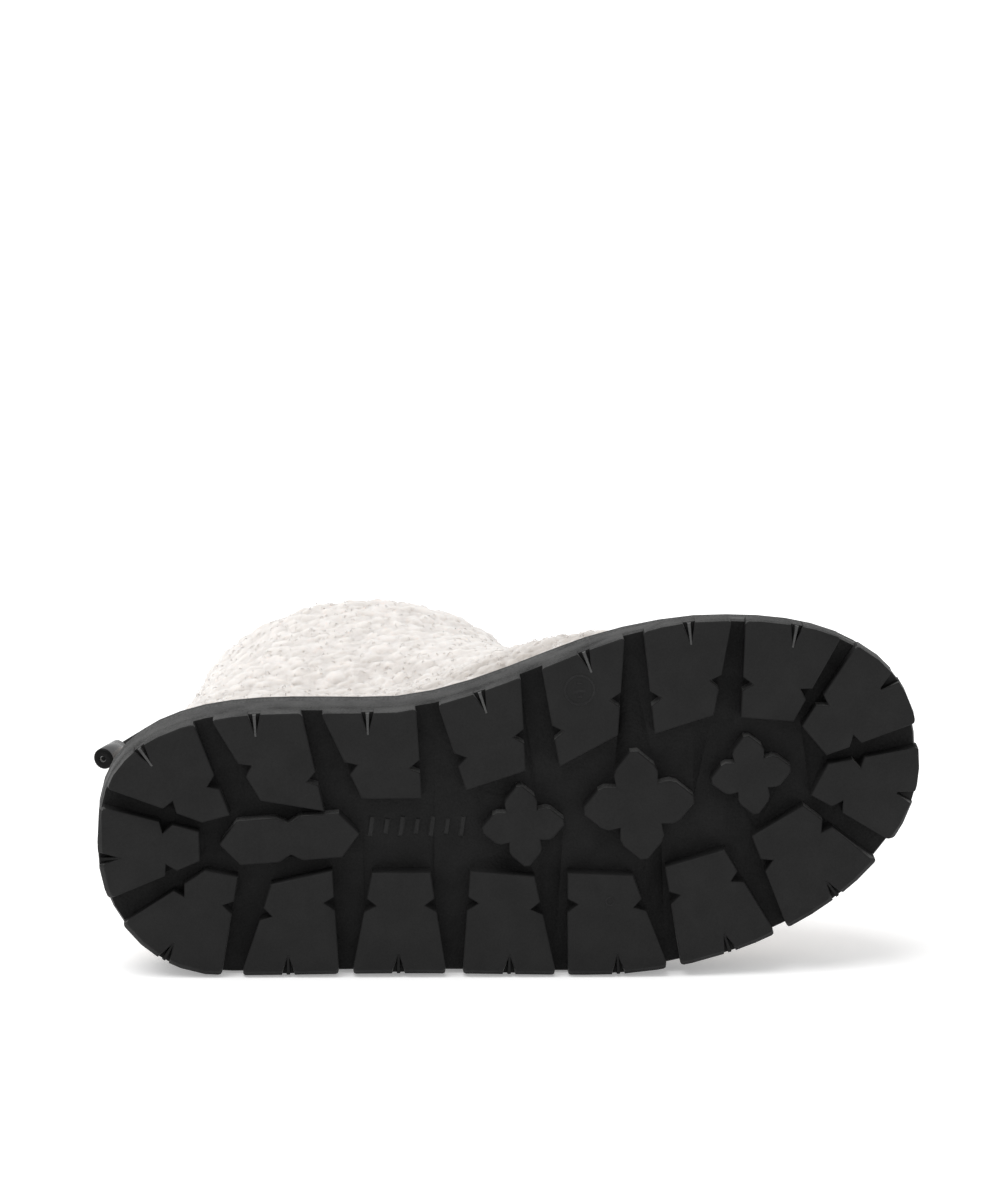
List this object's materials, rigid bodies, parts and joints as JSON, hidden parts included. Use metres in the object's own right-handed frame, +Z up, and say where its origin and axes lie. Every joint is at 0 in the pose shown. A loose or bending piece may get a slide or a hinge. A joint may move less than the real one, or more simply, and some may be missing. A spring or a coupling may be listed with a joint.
{
  "type": "wool boot",
  "caption": "Ankle boot of curly off-white wool, lying on its outer side to show its deep lugged black rubber sole, with a black pull cord behind the heel.",
  "frame": {"origin": "centre of the boot's box, on the floor that it lies on", "axes": "+X from the heel to the toe, +Y from the tread towards the collar, +Z up, towards the boot's inner side"},
  "size_m": [0.2752, 0.1534, 0.1195],
  "materials": {
    "sole_rubber": "matte",
    "curly_wool": "matte",
    "insole_fleece": "matte",
    "cord": "matte",
    "cord_end_plastic": "satin"
  },
  "bodies": {
    "root": {"outsole": "sole_rubber", "upper": "curly_wool", "insole": "insole_fleece", "pull_cord": "cord", "cord_end": "cord_end_plastic"}
  },
  "joints": []
}
